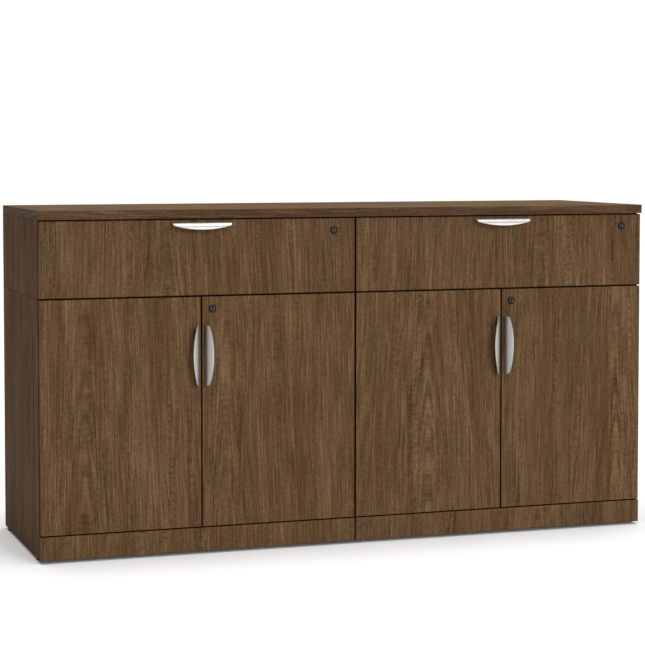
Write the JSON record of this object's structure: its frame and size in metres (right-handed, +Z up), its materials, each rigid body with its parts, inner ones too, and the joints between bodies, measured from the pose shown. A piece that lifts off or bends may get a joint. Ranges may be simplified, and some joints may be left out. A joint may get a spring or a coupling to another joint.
{
  "type": "credenza",
  "caption": "Wood-laminate storage credenza: cabinets with hinged doors under drawers on telescopic slides, bow pulls, cam locks, one continuous top.",
  "frame": {"origin": "on the floor, under the centre of the bounding box", "axes": "+Z up, +X along the width to the right as seen from the front, the fronts face -Y"},
  "size_m": [1.803, 0.577, 0.956],
  "materials": {
    "walnut_laminate": "matt walnut-pattern laminate, grain upright on fronts and sides, lengthwise on the top",
    "drawer_box_wood": "clear lacquered birch plywood",
    "satin_nickel": "satin nickel plate",
    "zinc_steel": "bright zinc plate",
    "lock_black": "black satin coat",
    "lock_plug_grey": "dark nickel plate",
    "black_nylon": "moulded black nylon"
  },
  "bodies": {
    "cabinet": {"hinge_arms": "zinc_steel", "left_cabinet_back": "walnut_laminate", "left_cabinet_base_rail": "walnut_laminate", "left_cabinet_bottom": "walnut_laminate", "left_cabinet_deck": "walnut_laminate", "left_cabinet_left_side": "walnut_laminate", "left_cabinet_right_side": "walnut_laminate", "left_cabinet_upper_back": "walnut_laminate", "left_cabinet_upper_left_side": "walnut_laminate", "left_cabinet_upper_right_side": "walnut_laminate", "levelling_glides": "black_nylon", "lock_strikes": "zinc_steel", "right_cabinet_back": "walnut_laminate", "right_cabinet_base_rail": "walnut_laminate", "right_cabinet_bottom": "walnut_laminate", "right_cabinet_deck": "walnut_laminate", "right_cabinet_left_side": "walnut_laminate", "right_cabinet_right_side": "walnut_laminate", "right_cabinet_upper_back": "walnut_laminate", "right_cabinet_upper_left_side": "walnut_laminate", "right_cabinet_upper_right_side": "walnut_laminate", "shelf_pins": "zinc_steel", "shelves": "walnut_laminate", "slide_cabinet_members": "zinc_steel", "top_panel": "walnut_laminate", "top_rails": "walnut_laminate"},
    "left_cabinet_left_door": {"left_cabinet_left_door_hinge_cups": "zinc_steel", "left_cabinet_left_door_panel": "walnut_laminate", "left_cabinet_left_door_pull": "satin_nickel"},
    "left_cabinet_right_door": {"left_cabinet_right_door_hinge_cups": "zinc_steel", "left_cabinet_right_door_lock_body": "lock_black", "left_cabinet_right_door_panel": "walnut_laminate", "left_cabinet_right_door_pull": "satin_nickel"},
    "left_cabinet_right_door_lock_plug": {"left_cabinet_right_door_lock_plug": "lock_plug_grey"},
    "right_cabinet_left_door": {"right_cabinet_left_door_hinge_cups": "zinc_steel", "right_cabinet_left_door_panel": "walnut_laminate", "right_cabinet_left_door_pull": "satin_nickel"},
    "right_cabinet_right_door": {"right_cabinet_right_door_hinge_cups": "zinc_steel", "right_cabinet_right_door_lock_body": "lock_black", "right_cabinet_right_door_panel": "walnut_laminate", "right_cabinet_right_door_pull": "satin_nickel"},
    "right_cabinet_right_door_lock_plug": {"right_cabinet_right_door_lock_plug": "lock_plug_grey"},
    "left_drawer": {"left_drawer_bottom": "drawer_box_wood", "left_drawer_box_ends": "drawer_box_wood", "left_drawer_box_sides": "drawer_box_wood", "left_drawer_front": "walnut_laminate", "left_drawer_lock_body": "lock_black", "left_drawer_pull": "satin_nickel", "left_drawer_slide_drawer_members": "zinc_steel"},
    "left_drawer_slide_mid": {"left_drawer_slide_mid_members": "zinc_steel"},
    "left_drawer_lock_plug": {"left_drawer_lock_plug": "lock_plug_grey"},
    "right_drawer": {"right_drawer_bottom": "drawer_box_wood", "right_drawer_box_ends": "drawer_box_wood", "right_drawer_box_sides": "drawer_box_wood", "right_drawer_front": "walnut_laminate", "right_drawer_lock_body": "lock_black", "right_drawer_pull": "satin_nickel", "right_drawer_slide_drawer_members": "zinc_steel"},
    "right_drawer_slide_mid": {"right_drawer_slide_mid_members": "zinc_steel"},
    "right_drawer_lock_plug": {"right_drawer_lock_plug": "lock_plug_grey"}
  },
  "joints": [
    {"name": "left_drawer_slide", "type": "slide", "parent": "cabinet", "child": "left_drawer", "axis": [0, -1, 0], "range_m": [0, 0.4]},
    {"name": "left_drawer_mid_slide", "type": "slide", "parent": "cabinet", "child": "left_drawer_slide_mid", "axis": [0, -1, 0], "range_m": [0, 0.2]},
    {"name": "left_drawer_lock_turn", "type": "hinge", "parent": "left_drawer", "child": "left_drawer_lock_plug", "pos_m": [-0.0645, -0.2635, 0.8937], "axis": [0, 1, 0], "range_deg": [0, 90]},
    {"name": "left_cabinet_left_door_hinge", "type": "hinge", "parent": "cabinet", "child": "left_cabinet_left_door", "pos_m": [-0.8905, -0.257, 0.39575], "axis": [0, 0, -1], "range_deg": [0, 95]},
    {"name": "left_cabinet_right_door_hinge", "type": "hinge", "parent": "cabinet", "child": "left_cabinet_right_door", "pos_m": [-0.011, -0.257, 0.39575], "axis": [0, 0, 1], "range_deg": [0, 85]},
    {"name": "left_cabinet_right_door_lock_turn", "type": "hinge", "parent": "left_cabinet_right_door", "child": "left_cabinet_right_door_lock_plug", "pos_m": [-0.41975, -0.2635, 0.6807], "axis": [0, 1, 0], "range_deg": [0, 90]},
    {"name": "right_drawer_slide", "type": "slide", "parent": "cabinet", "child": "right_drawer", "axis": [0, -1, 0], "range_m": [0, 0.4]},
    {"name": "right_drawer_mid_slide", "type": "slide", "parent": "cabinet", "child": "right_drawer_slide_mid", "axis": [0, -1, 0], "range_m": [0, 0.2]},
    {"name": "right_drawer_lock_turn", "type": "hinge", "parent": "right_drawer", "child": "right_drawer_lock_plug", "pos_m": [0.837, -0.2635, 0.8937], "axis": [0, 1, 0], "range_deg": [0, 90]},
    {"name": "right_cabinet_left_door_hinge", "type": "hinge", "parent": "cabinet", "child": "right_cabinet_left_door", "pos_m": [0.011, -0.257, 0.39575], "axis": [0, 0, -1], "range_deg": [0, 85]},
    {"name": "right_cabinet_right_door_hinge", "type": "hinge", "parent": "cabinet", "child": "right_cabinet_right_door", "pos_m": [0.8905, -0.257, 0.39575], "axis": [0, 0, 1], "range_deg": [0, 95]},
    {"name": "right_cabinet_right_door_lock_turn", "type": "hinge", "parent": "right_cabinet_right_door", "child": "right_cabinet_right_door_lock_plug", "pos_m": [0.48175, -0.2635, 0.6807], "axis": [0, 1, 0], "range_deg": [0, 90]}
  ],
  "couplings": [
    {"joint": "left_drawer_mid_slide", "follows": "left_drawer_slide", "ratio": 0.5},
    {"joint": "right_drawer_mid_slide", "follows": "right_drawer_slide", "ratio": 0.5}
  ]
}
